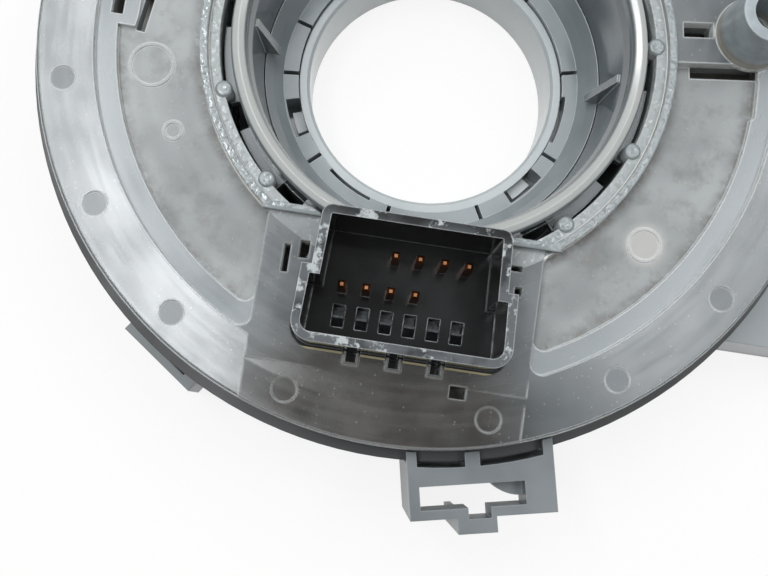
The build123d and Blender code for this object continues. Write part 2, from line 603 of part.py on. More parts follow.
# ---------------------------------------------------------------- stator
def case_ring():
    """Round wall of the cable chamber, with a dust flange under the skirt and hooks for the latches."""
    inner = CASE_R - CASE_T
    case = turned(
        (inner, FLOOR_T), (CASE_R, FLOOR_T), (CASE_R, case_top_z - CASE_FLANGE_T),
        (case_flange_r, case_top_z - CASE_FLANGE_T), (case_flange_r, case_top_z), (inner, case_top_z))
    hook_w = LATCH_WINDOW_W - 2 * RUNNING_GAP
    low = LATCH_WINDOW_Z + RUNNING_GAP
    high = LATCH_WINDOW_Z + LATCH_WINDOW_H - SEAT_GAP
    hook = make_face(Polyline(
        (CASE_R - 0.8, low), (CASE_R + 0.6, low), (latch_out - 0.2, high - 0.8),
        (latch_out - 0.2, high), (CASE_R - 0.8, high), close=True))
    hook = Pos(0, hook_w / 2, 0) * extrude(Plane.XZ * hook, hook_w)
    for angle in LATCH_ANGLES:
        case += Rot(0, 0, angle) * hook
    return case


def latch_loop():
    """Springy loop that stands up from the floor's edge and snaps over a hook of the case."""
    near = CASE_R + RUNNING_GAP
    half = LATCH_W / 2
    loop = slab((near, latch_out), (-half, half), (0, FLOOR_T))
    loop += slab((latch_out - LATCH_T, latch_out), (-half, half), (0, LATCH_H))
    for side in (-half, half - LATCH_POST_W):
        loop += slab((near, latch_out), (side, side + LATCH_POST_W), (0, LATCH_H))
    loop -= slab((near - 1, latch_out + 1), (-LATCH_WINDOW_W / 2, LATCH_WINDOW_W / 2),
                 (LATCH_WINDOW_Z, LATCH_WINDOW_Z + LATCH_WINDOW_H))
    return loop


def mounting_tower():
    """Tower beside the case with a T-shaped slot, which clips on the column's bracket."""
    foot_n = CASE_R + RUNNING_GAP
    reach = case_flange_r + TOWER_RIB_GAP
    inside = plate_r - 2
    t_low, t_high = TOWER_T_LOW, TOWER_T_HIGH

    def block(t, n, z):
        """Block in the tower's own axes, n pointing away from the bore."""
        return slab(t, (-n[1], -n[0]), z)

    frame_z = (tower_top_z - TOWER_FRAME_T, tower_top_z)
    frame = block((t_low, t_high), (inside, tower_n), frame_z) - Cylinder(bar_r, 4 * FACE_Z)
    frame += block(TAIL_T, (tower_n - 1, tail_n), frame_z)
    slot = block(SLOT_T, (slot_near_n, slot_far_n), (0, FACE_Z)) + block(STEM_T, (slot_near_n, stem_n), (0, FACE_Z))
    frame -= slot

    # Snap tongue in the slot's high corner, with a curved edge
    near, high = -slot_near_n, SLOT_T[1]
    with_curve = make_face(
        Spline((TONGUE_T, near), (TONGUE_T + TONGUE_SHOULDER, near - TONGUE_SHOULDER), (high, near - TONGUE_W))
        + Line((high, near - TONGUE_W), (high + 1, near - TONGUE_W))
        + Line((high + 1, near - TONGUE_W), (high + 1, near + 1))
        + Line((high + 1, near + 1), (TONGUE_T, near + 1))
        + Line((TONGUE_T, near + 1), (TONGUE_T, near)))
    frame += Pos(0, 0, frame_z[0]) * extrude(with_curve, TOWER_FRAME_T - TONGUE_DROP)

    # Side walls and divider from the floor up, which reach over the case's flange to the skirt
    walls = None
    for t in ((t_low, t_low + TOWER_WALL), TOWER_DIVIDER, (t_high - TOWER_WALL, t_high)):
        wall = block(t, (inside, bar_r + 0.8 if t == TOWER_DIVIDER else tower_n), (0, tower_top_z))
        walls = wall if walls is None else walls + wall

    # The wall at the high end tapers towards the floor
    taper = make_face(Polyline(
        (-tower_n - 1, -1), (-tower_n - 1, frame_z[0]), (-tower_n, frame_z[0]),
        (-reach - 2, FLOOR_T), (-reach - 2, -1), close=True))
    walls -= extrude(Plane.YZ.offset(t_high - TOWER_WALL - 0.5) * taper, TOWER_WALL + 1)
    # Web that closes the pockets between the walls, and the bar's skin down to it
    walls += block((t_low, t_high), (inside, bar_r + TOWER_WALL), (TOWER_WEB_Z, TOWER_WEB_Z + TOWER_WALL))
    skin = block((t_low, t_high), (inside, bar_r + TOWER_WALL), (TOWER_WEB_Z, frame_z[1]))
    walls += skin - Cylinder(bar_r, 4 * FACE_Z)
    walls -= Cylinder(reach, 2 * (case_top_z + RUNNING_GAP))
    walls -= Cylinder(skirt_r + TOWER_RIB_GAP, 4 * FACE_Z)
    tail_rib = block((TAIL_T[0], TAIL_T[0] + 0.9), (tower_n - 0.5, tail_n), (FLOOR_T, tower_top_z))
    foot = block((t_low, t_high), (foot_n - 1.5, reach + 2), (0, FLOOR_T))
    return Rot(0, 0, TOWER_ANGLE) * (frame + walls + tail_rib + foot)


def base_housing():
    """Floor of the stator with the latch loops, the mounting tower and the seat of the connector."""
    inner_r = HUB_R + RUNNING_GAP
    seal_r = SLEEVE_FLANGE_R + RUNNING_GAP
    base = turned(
        (inner_r, inner_floor_z), (seal_r, inner_floor_z), (seal_r, 0), (CASE_R, 0),
        (CASE_R, FLOOR_T), (seal_r + FLOOR_T, FLOOR_T), (seal_r + 1.0, inner_floor_top),
        (inner_r, inner_floor_top))
    for angle in LATCH_ANGLES:
        base += Rot(0, 0, angle) * (slab((CASE_R - 2, latch_out), (-LATCH_W / 2, LATCH_W / 2), (0, FLOOR_T))
                                    + latch_loop())
    base += mounting_tower()
    # Seat that carries the column connector beside the floor
    seat_in = math.sqrt((CASE_R - 1) ** 2 - SOCKET_Y_LOW ** 2)
    seat = slab((seat_in, socket_x - SOCKET_SEAT), (SOCKET_Y_LOW, SOCKET_Y_HIGH), (0, FLOOR_T))
    return base + seat - washer(SLEEVE_FLANGE_R + RUNNING_GAP, inner_r + 1, -FLOOR_T, FLOOR_T + inner_floor_z)


def column_connector():
    """Socket on the stator for the wiring of the column, open sideways."""
    low = FLOOR_T
    clear = Cylinder(CASE_R + RUNNING_GAP, 4 * SOCKET_H)
    back = math.sqrt(CASE_R ** 2 - SOCKET_Y_LOW ** 2)
    body = slab((back, socket_x), (SOCKET_Y_LOW, SOCKET_Y_HIGH), (low, low + SOCKET_H)) - clear
    body -= slab((column_floor_x, socket_x + 1),
                 (SOCKET_Y_LOW + SOCKET_WALL, SOCKET_Y_HIGH - SOCKET_WALL),
                 (low + SOCKET_WALL, low + SOCKET_H - SOCKET_WALL))
    for y, z in column_pin_places():
        body -= Pos(column_floor_x, y, z) * Box(2 * COLUMN_PIN_L / 3, COLUMN_PIN_W, COLUMN_PIN_W)
    return body


def column_pin_places():
    """Places of the column pins, in one row across the socket."""
    middle = (SOCKET_Y_LOW + SOCKET_Y_HIGH) / 2
    first = middle - (COLUMN_PIN_COUNT - 1) / 2 * COLUMN_PIN_PITCH
    return [(first + n * COLUMN_PIN_PITCH, FLOOR_T + SOCKET_H / 2) for n in range(COLUMN_PIN_COUNT)]


def column_pin(y, z):
    """Square pin in the floor of the column socket."""
    back = column_floor_x - COLUMN_PIN_L / 3
    pin = Pos(back, y, z) * Box(COLUMN_PIN_L, COLUMN_PIN_W, COLUMN_PIN_W,
                                align=(Align.MIN, Align.CENTER, Align.CENTER))
    return chamfer(pin.faces().sort_by(Axis.X)[-1].edges(), 0.2)


# ---------------------------------------------------------------- flat cable and what guides it
def flat_cable():
    """Flat conductor cable, wound loosely between drum and case: half turns, each wider than the last."""
    grow = (cable_last_r - cable_first_r) / CABLE_HALF_TURNS / 2
    coil = None
    radius = cable_first_r
    start = -radius
    side = 1
    for n in range(CABLE_HALF_TURNS):
        centre = start + side * radius
        half = Circle(radius + CABLE_T / 2) - Circle(radius - CABLE_T / 2)
        half &= Pos(side * CASE_R, 0) * Rectangle(2 * CASE_R, 4 * CASE_R)
        half = Pos(0, centre) * half
        coil = half if coil is None else coil + half
        start = centre + side * radius
        side = -side
        radius += grow
    return Pos(0, 0, cable_low_z) * extrude(coil, CABLE_W)


def inner_lead_block():
    """Moulded block on the drum under the wheel connector, where the cable's inner end is welded."""
    return ring_piece(cable_first_r - BLOCK_GAP - CABLE_T / 2, drum_r + 0.02, BLOCK_SPAN, -90,
                      drum_foot_z + SEAT_GAP, upper_sheet_z - drum_foot_z - 2 * SEAT_GAP)


def outer_lead_block():
    """Moulded block on the case's wall beside the column connector, at the cable's outer end."""
    inner = cable_last_r + BLOCK_GAP + CABLE_T
    return ring_piece(CASE_R - CASE_T - 0.02, inner, BLOCK_SPAN, OUTER_BLOCK_ANGLE,
                      FLOOR_T + SHEET_T, CABLE_W)


def slip_sheet(low_z, inner_r, outer_r):
    """Thin slippery sheet that keeps the cable's edges off the mouldings."""
    return washer(outer_r, inner_r, low_z, SHEET_T)


if __name__ == "__main__":
    os.makedirs("parts", exist_ok=True)
    nodes = {
        "rotor_plate": rotor_plate(),
        "rotor_hub": rotor_hub(),
        "retaining_ring": retaining_ring(),
        "bore_sleeve": bore_sleeve(),
        "wheel_connector": wheel_connector(),
        "case_ring": case_ring(),
        "base_housing": base_housing(),
        "column_connector": column_connector(),
        "flat_cable": flat_cable(),
        "inner_lead_block": inner_lead_block(),
        "outer_lead_block": outer_lead_block(),
        "lower_slip_sheet": slip_sheet(FLOOR_T, sheet_in_r, CASE_R - CASE_T - SEAT_GAP),
        "upper_slip_sheet": slip_sheet(upper_sheet_z, drum_r + SEAT_GAP, CASE_R - CASE_T - 2 * RUNNING_GAP),
        "shorting_clip_1": shorting_clip(0),
        "shorting_clip_2": shorting_clip(2),
        "shorting_clip_3": shorting_clip(4),
    }
    for n, (x, y) in enumerate(pin_places(), 1):
        nodes[f"wheel_pin_{n}"] = contact_pin(x, y)
    for n, (y, z) in enumerate(column_pin_places(), 1):
        nodes[f"column_pin_{n}"] = column_pin(y, z)
    for name, solid in nodes.items():
        export_step(solid, f"parts/{name}.step")
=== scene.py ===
import json
import math
import bpy
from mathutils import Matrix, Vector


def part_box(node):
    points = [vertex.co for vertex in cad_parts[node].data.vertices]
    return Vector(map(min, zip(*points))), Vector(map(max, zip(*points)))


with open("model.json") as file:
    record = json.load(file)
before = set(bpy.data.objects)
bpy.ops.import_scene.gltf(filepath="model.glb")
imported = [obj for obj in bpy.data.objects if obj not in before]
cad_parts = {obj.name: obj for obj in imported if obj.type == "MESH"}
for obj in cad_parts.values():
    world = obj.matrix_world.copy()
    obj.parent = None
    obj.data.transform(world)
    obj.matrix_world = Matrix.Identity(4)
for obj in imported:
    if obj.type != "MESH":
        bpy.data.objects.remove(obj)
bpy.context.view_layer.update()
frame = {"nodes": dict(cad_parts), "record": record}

# ---------------------------------------------------------------- Camera
# A compact camera held over the part, almost square to its face and a little towards the connector,
# so that the depth of the hub and the slot of the tower show.
camera_place = (-0.003636, -0.047601, 0.148367)
camera_turn = [math.radians(degrees) for degrees in (7.228, -1.680, 8.487)]
bpy.ops.object.camera_add(location=camera_place, rotation=camera_turn)
camera = bpy.context.object
camera.name = "studio_camera"
camera.data.sensor_width = 36.0
camera.data.lens = 47.81
camera.data.clip_start = 0.01
bpy.context.scene.camera = camera
bpy.context.scene.view_settings.view_transform = "Standard"


# ---------------------------------------------------------------- Face plate of the rotor
# Injection moulded in grey glass-filled polyester. The mould was polished for the outer band and the land,
# and left spark-eroded in the pockets, so these look duller. Snap lugs hold the hub to it.
def from_hex(code):
    """sRGB hex value as a linear RGBA colour."""
    channels = [int(code[i:i + 2], 16) / 255 for i in (1, 3, 5)]
    linear = [c / 12.92 if c <= 0.04045 else ((c + 0.055) / 1.055) ** 2.4 for c in channels]
    return (*linear, 1.0)


def add_node(tree, kind, settings=None, values=None, links=None):
    """Adds one node with its settings, its constant inputs and its incoming links."""
    node = tree.nodes.new(kind)
    for name, value in (settings or {}).items():
        setattr(node, name, value)
    for name, value in (values or {}).items():
        node.inputs[name].default_value = value
    for name, source in (links or {}).items():
        tree.links.new(source, node.inputs[name])
    return node


def start_material(name):
    """New node material: returns the material, its tree and its shader."""
    material = bpy.data.materials.new(name)
    material.use_nodes = True
    tree = material.node_tree
    shader = next(node for node in tree.nodes if node.type == "BSDF_PRINCIPLED")
    return material, tree, shader


def paint(node_name, material):
    """Gives a CAD node its material."""
    mesh = frame["nodes"][node_name].data
    mesh.materials.clear()
    mesh.materials.append(material)


def moulded_plastic(name, colour, flow_colour, highlight_colour, roughness, grain_mm, grain_depth_mm, edge_mm):
    """Injection-moulded plastic: slow colour change where the melt flowed, the mould's fine texture, and
    edges that are rounded by edge_mm and painted paler, a painted highlight along them. Returns what a
    piece needs to add its own marks."""
    flow_mm = 14
    gloss_range = (roughness - 0.06, roughness + 0.08)
    material, tree, shader = start_material(name)
    place = add_node(tree, "ShaderNodeTexCoord").outputs["Object"]
    flow = add_node(tree, "ShaderNodeTexNoise", None,
                    {"Scale": 1000 / flow_mm, "Detail": 3.0, "Roughness": 0.55}, {"Vector": place})
    grain = add_node(tree, "ShaderNodeTexNoise", None, {"Scale": 1000 / grain_mm, "Detail": 3.0},
                     {"Vector": place})
    rounded = add_node(tree, "ShaderNodeBevel", {"samples": 4}, {"Radius": edge_mm / 1000})
    flat = add_node(tree, "ShaderNodeNewGeometry")
    turn = add_node(tree, "ShaderNodeVectorMath", {"operation": "DOT_PRODUCT"}, None,
                    {0: rounded.outputs["Normal"], 1: flat.outputs["Normal"]})
    # Painted highlight: edges are painted paler where the rounded normal turns away from the flat one
    edge_highlight = add_node(tree, "ShaderNodeMapRange", None,
                      {"From Min": 0.97, "From Max": 0.84, "To Min": 0.0, "To Max": 0.9},
                      {"Value": turn.outputs["Value"]})
    spread = add_node(tree, "ShaderNodeMapRange", {"interpolation_type": "SMOOTHERSTEP"},
                      {"From Min": 0.25, "From Max": 0.75}, {"Value": flow.outputs["Fac"]})
    body = add_node(tree, "ShaderNodeMix", {"data_type": "RGBA"},
                    {6: from_hex(colour), 7: from_hex(flow_colour)}, {0: spread.outputs["Result"]})
    with_highlights = add_node(tree, "ShaderNodeMix", {"data_type": "RGBA"}, {7: from_hex(highlight_colour)},
                    {0: edge_highlight.outputs["Result"], 6: body.outputs[2]})
    tree.links.new(with_highlights.outputs[2], shader.inputs["Base Color"])
    gloss = add_node(tree, "ShaderNodeMapRange", {"interpolation_type": "SMOOTHERSTEP"},
                     {"From Min": 0.2, "From Max": 0.8, "To Min": gloss_range[0], "To Max": gloss_range[1]},
                     {"Value": flow.outputs["Fac"]})
    tree.links.new(gloss.outputs["Result"], shader.inputs["Roughness"])
    bump = add_node(tree, "ShaderNodeBump", None, {"Strength": 1.0, "Distance": grain_depth_mm / 1000},
                    {"Height": grain.outputs["Fac"], "Normal": rounded.outputs["Normal"]})
    tree.links.new(bump.outputs["Normal"], shader.inputs["Normal"])
    shader.inputs["IOR"].default_value = 1.55
    return {"material": material, "tree": tree, "shader": shader, "place": place, "body": body, "with_highlights": with_highlights,
            "edge_highlight": edge_highlight, "gloss": gloss, "bump": bump}


plate = moulded_plastic("Polyester PBT, moulded, polished and spark-eroded", "#53585b", "#63686b",
                        "#f4f6f6", 0.22, 0.35, 0.003, 0.34)
tree = plate["tree"]
axes = add_node(tree, "ShaderNodeSeparateXYZ", None, None, {"Vector": plate["place"]})
level = add_node(tree, "ShaderNodeCombineXYZ", None, None, {"X": axes.outputs["X"], "Y": axes.outputs["Y"]})
radius = add_node(tree, "ShaderNodeVectorMath", {"operation": "LENGTH"}, None, {0: level.outputs["Vector"]})
surface = add_node(tree, "ShaderNodeNewGeometry")
facing = add_node(tree, "ShaderNodeSeparateXYZ", None, None, {"Vector": surface.outputs["True Normal"]})


def zone(tree, *tests):
    """1 where every test holds, 0 elsewhere. A test is a value, a comparison and its one or two numbers."""
    mask = None
    for value, comparison, *numbers in tests:
        held = add_node(tree, "ShaderNodeMath", {"operation": comparison}, dict(enumerate(numbers, 1)),
                        {0: value})
        if mask is not None:
            held = add_node(tree, "ShaderNodeMath", {"operation": "MULTIPLY"}, None,
                            {0: mask, 1: held.outputs[0]})
        mask = held.outputs[0]
    return mask


def blotches(tree, place, size_mm, start, end, least=0.0, most=1.0, detail=3.0, harshness=0.55):
    """Uneven cover in patches about size_mm across, which runs smoothly from least to most."""
    cloud = add_node(tree, "ShaderNodeTexNoise", None,
                     {"Scale": 1000 / size_mm, "Detail": detail, "Roughness": harshness}, {"Vector": place})
    cover = add_node(tree, "ShaderNodeMapRange", {"interpolation_type": "SMOOTHSTEP"},
                     {"From Min": start, "From Max": end, "To Min": least, "To Max": most},
                     {"Value": cloud.outputs["Fac"]})
    return cover.outputs["Result"]


def between(low, high):
    """The comparison of a test that holds from low to high."""
    return "COMPARE", (low + high) / 2, (high - low) / 2


def lay(tree, colour, *coats):
    """Lays coats over a colour in turn. A coat is a hex colour and the masks that all let it through."""
    for code, *masks in coats:
        cover = masks[0]
        for mask in masks[1:]:
            both = add_node(tree, "ShaderNodeMath", {"operation": "MULTIPLY"}, None, {0: cover, 1: mask})
            cover = both.outputs[0]
        colour = add_node(tree, "ShaderNodeMix", {"data_type": "RGBA"}, {7: from_hex(code)},
                          {0: cover, 6: colour}).outputs[2]
    return colour


# Sizes in metres. The drive post stands post_h above the face, and two steps lead down into the pockets
mounts = {mount["name"]: mount["pos_m"] for mount in frame["record"]["mounts"]}
post_x, post_y, post_top_z = mounts["drive_post"]
post_h = 0.0075
face_z = post_top_z - post_h
step_h = 0.0008
ridge_r = 0.0295
ridge_half_w = 0.0005
band_in_r = 0.0435         # inner edge of the sloping band
hair = 0.0001              # keeps a border off the surface that it runs past

place = plate["place"]
height = axes.outputs["Z"]
from_axis = radius.outputs["Value"]
upward = facing.outputs["Z"]
soft = {"interpolation_type": "SMOOTHSTEP"}
step_ring = (from_axis, *between(ridge_r - 4 * hair, band_in_r))
above_steps = (height, "GREATER_THAN", face_z - step_h)

# The pockets are painted paler grey, a painted sheen on their matte skin, with brownish dirt in patches
# and a brownish painted shade along both borders
pocket_z = face_z - 2 * step_h
pocket_top_z = pocket_z + 4 * hair
pocket_low_z = 0.0210
pocket_mid_r = 0.0354
pocket = zone(tree, (height, *between(pocket_low_z, pocket_top_z)), step_ring)
eroded = add_node(tree, "ShaderNodeMix", {"data_type": "RGBA"},
                  {6: from_hex("#757879"), 7: from_hex("#929596")},
                  {0: blotches(tree, place, 11, 0.36, 0.62, detail=2.0, harshness=0.5)}).outputs[2]
middle = add_node(tree, "ShaderNodeMath", {"operation": "SUBTRACT"}, {1: pocket_mid_r}, {0: from_axis})
middle = add_node(tree, "ShaderNodeMath", {"operation": "ABSOLUTE"}, None, {0: middle.outputs[0]})
border = add_node(tree, "ShaderNodeMapRange", soft, {"From Min": 0.0034, "From Max": 0.0054},
                  {"Value": middle.outputs[0]})
broken = blotches(tree, place, 2.0, 0.38, 0.62, 0.25, 1.0, 5.0, 0.7)
eroded = lay(tree, eroded, ("#5b5751", blotches(tree, place, 3.6, 0.46, 0.70, 0.0, 0.5, 5.0, 0.65)),
             ("#4e4b46", border.outputs["Result"], broken))
body = add_node(tree, "ShaderNodeMix", {"data_type": "RGBA"}, None,
                {0: pocket, 6: plate["body"].outputs[2], 7: eroded}).outputs[2]

# A pale, dull spot is left where the mould's vent was, 5 mm across
vent_place = (0.0291, -0.0211, 0.0)
vent = add_node(tree, "ShaderNodeVectorMath", {"operation": "DISTANCE"}, {1: vent_place},
                {0: level.outputs["Vector"]})
chalky = add_node(tree, "ShaderNodeMapRange", soft, {"From Min": 0.0034, "From Max": 0.0016, "To Max": 0.75},
                  {"Value": vent.outputs["Value"]})
body = lay(tree, body, ("#b4b0aa", pocket, chalky.outputs["Result"]))

# The terrace and the collar inside the ridge are painted paler grey, a painted sheen, and the collar has
# bright flecks, painted glints
shelf_low_z, shelf_high_z = 0.02385, 0.02445
shelf = zone(tree, (height, *between(shelf_low_z, shelf_high_z)), step_ring)
collar = zone(tree, (from_axis, "LESS_THAN", ridge_r + ridge_half_w + hair))
body = lay(tree, body, ("#878c8f", shelf), ("#94999a", collar),
           ("#d3d5d3", collar, blotches(tree, place, 0.6, 0.56, 0.68, 0.0, 0.55, 3.0, 0.6)))

# The land round the connector, darker in patches. Below the plug it is darker and brownish in an oval,
# darkest in the middle
land_left, land_right = -0.0178, 0.0166
land_low, land_high = -0.0523, -0.0237
land = zone(tree, (axes.outputs["X"], *between(land_left, land_right)),
            (axes.outputs["Y"], *between(land_low, land_high)), above_steps)
body = lay(tree, body, ("#45474a", land, blotches(tree, place, 4, 0.3, 0.7, 0.0, 0.4, 4.0)))
oval_brown = add_node(tree, "ShaderNodeMix", {"data_type": "RGBA"},
                  {6: from_hex("#1d1914"), 7: from_hex("#312c26")},
                  {0: blotches(tree, place, 5, 0.35, 0.65, detail=5.0, harshness=0.65)})
oval_squeeze = (0.55, 1.0, 0.0)        # the oval is nearly twice as wide as it is high
oval_middle = (-0.0003, -0.0462, 0.0)  # squeezed too
dark_oval = add_node(tree, "ShaderNodeVectorMath", {"operation": "MULTIPLY"}, {1: oval_squeeze},
                 {0: level.outputs["Vector"]})
dark_oval = add_node(tree, "ShaderNodeVectorMath", {"operation": "DISTANCE"}, {1: oval_middle},
                 {0: dark_oval.outputs["Vector"]})
dark_oval = add_node(tree, "ShaderNodeMapRange", soft, {"From Min": 0.0128, "From Max": 0.0062},
                 {"Value": dark_oval.outputs["Value"]})
dark_oval = add_node(tree, "ShaderNodeMath", {"operation": "MULTIPLY"}, None,
                 {0: dark_oval.outputs["Result"], 1: zone(tree, above_steps)})
body = add_node(tree, "ShaderNodeMix", {"data_type": "RGBA"}, None,
                {0: dark_oval.outputs[0], 6: body, 7: oval_brown.outputs[2]}).outputs[2]

# Ejector pins had ground ends, so their flat marks in the sloping band are darker and duller than it
not_land = add_node(tree, "ShaderNodeMath", {"operation": "SUBTRACT"}, {0: 1.0}, {1: land}).outputs[0]
level_enough = 0.9993      # the band slopes by more than this
mark = zone(tree, (from_axis, "GREATER_THAN", band_in_r), (upward, "GREATER_THAN", level_enough))
mark = add_node(tree, "ShaderNodeMath", {"operation": "MULTIPLY"}, None, {0: mark, 1: not_land}).outputs[0]
tree.links.new(lay(tree, body, ("#64696c", mark)), plate["with_highlights"].inputs[6])
plate["edge_highlight"].inputs["From Min"].default_value = 0.992
plate["edge_highlight"].inputs["From Max"].default_value = 0.94

# The painted edge highlight is half as strong on the collar and the land
covered = add_node(tree, "ShaderNodeMath", {"operation": "MAXIMUM"}, None, {0: collar, 1: land})
spared = add_node(tree, "ShaderNodeMath", {"operation": "MULTIPLY_ADD"}, {1: -0.5, 2: 1.0},
                  {0: covered.outputs[0]})
edge_highlight = add_node(tree, "ShaderNodeMath", {"operation": "MULTIPLY"}, None,
                  {0: plate["edge_highlight"].outputs["Result"], 1: spared.outputs[0]})
tree.links.new(edge_highlight.outputs[0], plate["with_highlights"].inputs[0])

# The walls of the steps and the ridge are painted almost white in patches, a painted highlight for their
# rounded edges
wall_low_z, wall_high_z = 0.0233, 0.0259
wall_out_r = 0.0480
upright = zone(tree, (upward, *between(-0.4, 0.6)), (height, *between(wall_low_z, wall_high_z)),
               (from_axis, "LESS_THAN", wall_out_r))
with_highlights = lay(tree, plate["with_highlights"].outputs[2],
           ("#eceeec", upright, blotches(tree, place, 1.6, 0.30, 0.52, 0.45, 1.0, 4.0, 0.6)))

# The ridge is painted mid grey along its middle and near white along its edges, a painted highlight
crest = add_node(tree, "ShaderNodeMath", {"operation": "SUBTRACT"}, {1: ridge_r}, {0: from_axis})
crest = add_node(tree, "ShaderNodeMath", {"operation": "ABSOLUTE"}, None, {0: crest.outputs[0]}).outputs[0]
greyer = add_node(tree, "ShaderNodeMapRange", soft,
                  {"From Min": 0.00034, "From Max": 0.00020, "To Max": 0.9}, {"Value": crest})
ridge_edge_highlight = add_node(tree, "ShaderNodeMapRange", soft, {"From Min": 0.00032, "From Max": 0.00044},
                {"Value": crest})
on_ridge = zone(tree, (crest, "LESS_THAN", 0.00062))
with_highlights = lay(tree, with_highlights, ("#5f6365", greyer.outputs["Result"], not_land),
           ("#e6e3dc", ridge_edge_highlight.outputs["Result"], on_ridge, not_land))

# The drive post is painted paler than the plate, a painted sheen, and tan round its foot where grease has
# dried
post_foot_r = 0.0060
off_post = add_node(tree, "ShaderNodeVectorMath", {"operation": "DISTANCE"}, {1: (post_x, post_y, 0.0)},
                    {0: level.outputs["Vector"]})
post = zone(tree, (off_post.outputs["Value"], "LESS_THAN", post_foot_r),
            (height, "GREATER_THAN", face_z + 0.00003))
dried = add_node(tree, "ShaderNodeMapRange", soft, {"From Min": 0.0272, "From Max": 0.0256, "To Max": 0.6},
                 {"Value": height})
with_highlights = lay(tree, with_highlights, ("#b3bcc1", post, blotches(tree, place, 4, 0.3, 0.7, 0.6, 0.95)),
           ("#a08f74", post, dried.outputs["Result"]))

# Specks of dust, one to every 0.8 mm of which half are there, and a few orange specks, one to every 6 mm
for code, apart_mm, channel, missing, start, end, most in (
        ("#a9a79f", 0.8, "Red", 0.5, 0.20, 0.06, 0.35),
        ("#a8623a", 6.0, "Green", 0.72, 0.055, 0.03, 0.8)):
    cells = add_node(tree, "ShaderNodeTexVoronoi", None, {"Scale": 1000 / apart_mm}, {"Vector": place})
    speck = add_node(tree, "ShaderNodeMapRange", soft, {"From Min": start, "From Max": end, "To Max": most},
                     {"Value": cells.outputs["Distance"]})
    there = add_node(tree, "ShaderNodeSeparateColor", None, None, {"Color": cells.outputs["Color"]})
    there = zone(tree, (there.outputs[channel], "GREATER_THAN", missing))
    with_highlights = lay(tree, with_highlights, (code, speck.outputs["Result"], there))

# The snap lugs' tops are painted paler, a painted highlight, and are made glossier below
lug_out_r = 0.0320
lug = zone(tree, (from_axis, "LESS_THAN", lug_out_r), (height, "GREATER_THAN", face_z + 0.00005))
tree.links.new(lay(tree, with_highlights, ("#8b9193", lug)), plate["shader"].inputs["Base Color"])

# Spark erosion makes the pockets dull, and the band is streaked along its length by handling
along = add_node(tree, "ShaderNodeVectorMath", {"operation": "NORMALIZE"}, None, {0: level.outputs["Vector"]})
along = add_node(tree, "ShaderNodeVectorMath", {"operation": "MULTIPLY"}, {1: (4.0, 4.0, 0.0)},
                 {0: along.outputs["Vector"]})
along = add_node(tree, "ShaderNodeSeparateXYZ", None, None, {"Vector": along.outputs["Vector"]})
streak_mm = 1.1
rings = add_node(tree, "ShaderNodeMath", {"operation": "MULTIPLY"}, {1: 1000 / streak_mm}, {0: from_axis})
streak = add_node(tree, "ShaderNodeCombineXYZ", None, None,
                  {"X": along.outputs["X"], "Y": along.outputs["Y"], "Z": rings.outputs[0]})
streak = add_node(tree, "ShaderNodeTexNoise", None, {"Scale": 1.0, "Detail": 4.0},
                  {"Vector": streak.outputs["Vector"]})
streak = add_node(tree, "ShaderNodeMapRange", soft, {"From Min": 0.35, "From Max": 0.7},
                  {"Value": streak.outputs["Fac"]})
rough = plate["gloss"].outputs["Result"]
for mask, change in ((streak.outputs["Result"], 0.05), (pocket, 0.16), (mark, 0.14), (lug, -0.12)):
    rough = add_node(tree, "ShaderNodeMath", {"operation": "MULTIPLY_ADD"}, {1: change},
                     {0: mask, 2: rough}).outputs[0]
tree.links.new(rough, plate["shader"].inputs["Roughness"])

# The collar's skin is uneven and glints
ripple_mm = 0.9
ripple_depth = 0.00016
ripple = add_node(tree, "ShaderNodeTexNoise", None,
                  {"Scale": 1000 / ripple_mm, "Detail": 2.0, "Roughness": 0.55}, {"Vector": place})
ripple = ripple.outputs["Fac"]
for mask in (collar, not_land):
    ripple = add_node(tree, "ShaderNodeMath", {"operation": "MULTIPLY"}, None,
                      {0: ripple, 1: mask}).outputs[0]
uneven = add_node(tree, "ShaderNodeBump", None, {"Strength": 1.0, "Distance": ripple_depth},
                  {"Height": ripple, "Normal": plate["bump"].outputs["Normal"]})
tree.links.new(uneven.outputs["Normal"], plate["shader"].inputs["Normal"])
plate["shader"].inputs["Specular IOR Level"].default_value = 0.8
paint("rotor_plate", plate["material"])

# ---------------------------------------------------------------- Hub
# Round tube moulded in dark grey acetal, smooth and a little greasy. Its collar sits under the plate's snap
# lugs, and its rounded rim stands above the face, painted pale along its top, a painted highlight.
hub = moulded_plastic("Acetal POM, moulded smooth", "#5e6569", "#757b7f", "#eceff0", 0.15, 0.5, 0.002, 0.30)
hub["shader"].inputs["Specular IOR Level"].default_value = 0.8
tree = hub["tree"]
axes = add_node(tree, "ShaderNodeSeparateXYZ", None, None, {"Vector": hub["place"]})
hub_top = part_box("rotor_hub")[1][2]
polished = add_node(tree, "ShaderNodeMapRange", soft,
                    {"From Min": hub_top - 0.0007, "From Max": hub_top - 0.0002, "To Max": 0.75},
                    {"Value": axes.outputs["Z"]})
tree.links.new(lay(tree, hub["with_highlights"].outputs[2], ("#c9cac6", polished.outputs["Result"])),
               hub["shader"].inputs["Base Color"])
paint("rotor_hub", hub["material"])

# ---------------------------------------------------------------- Retaining ring
# Ring of springy fingers in paler acetal, pushed up the hub until it snaps behind the bore sleeve.
fingers = moulded_plastic("Acetal POM, moulded, pale grey", "#82898c", "#9ba1a4", "#eceeee",
                          0.17, 0.5, 0.002, 0.18)
paint("retaining_ring", fingers["material"])

# ---------------------------------------------------------------- Bore sleeve
# Sleeve that runs on the steering shaft, moulded in light grey self-lubricating acetal with a satin skin.
sleeve = moulded_plastic("Acetal POM with oil, moulded, light grey", "#b3b9bb", "#c0c4c5", "#dde0e0",
                         0.16, 0.4, 0.002, 0.15)
paint("bore_sleeve", sleeve["material"])
